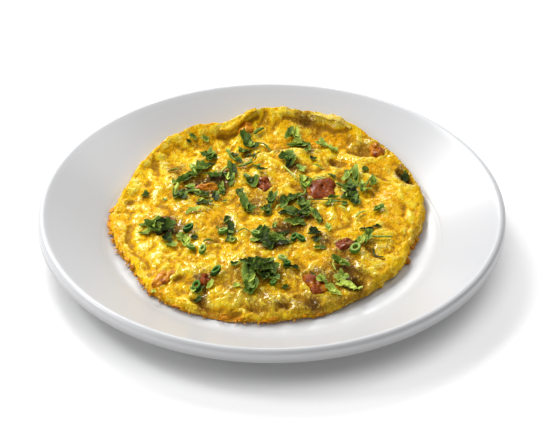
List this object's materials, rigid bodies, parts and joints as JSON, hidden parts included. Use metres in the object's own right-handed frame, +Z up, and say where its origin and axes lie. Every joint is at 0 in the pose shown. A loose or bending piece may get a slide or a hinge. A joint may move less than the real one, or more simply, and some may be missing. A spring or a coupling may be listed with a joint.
{
  "type": "open-faced omelette on a plate",
  "caption": "Thick open-faced egg and cheese omelette with tomato chunks, lying flat on a round white rimmed plate.",
  "frame": {"origin": "centre of the plate, at the bottom of its foot ring", "axes": "+Z up, out of the plate; -Y towards the diner; +X to the diner's right"},
  "size_m": [0.27, 0.27, 0.027],
  "materials": {
    "plate_glaze": "smooth glossy white glaze",
    "egg": "moist fried egg and melted cheese, browned at the edge",
    "tomato": "soft cooked tomato, wet",
    "parsley": "fresh chopped leaves and stems",
    "spring_onion": "sliced green stalk",
    "pepper": "cracked black peppercorn",
    "crisp_cheese": "browned cheese, thin and crisp"
  },
  "bodies": {
    "root": {"plate": "plate_glaze", "omelette": "egg", "tomato_large": "tomato", "tomato_middle": "tomato", "tomato_by_fold": "tomato", "tomato_right": "tomato", "tomato_near": "tomato", "tomato_near_left": "tomato", "tomato_strip": "tomato", "tomato_far_right": "tomato", "tomato_browned": "tomato", "tomato_under_leaf": "tomato"}
  },
  "joints": []
}
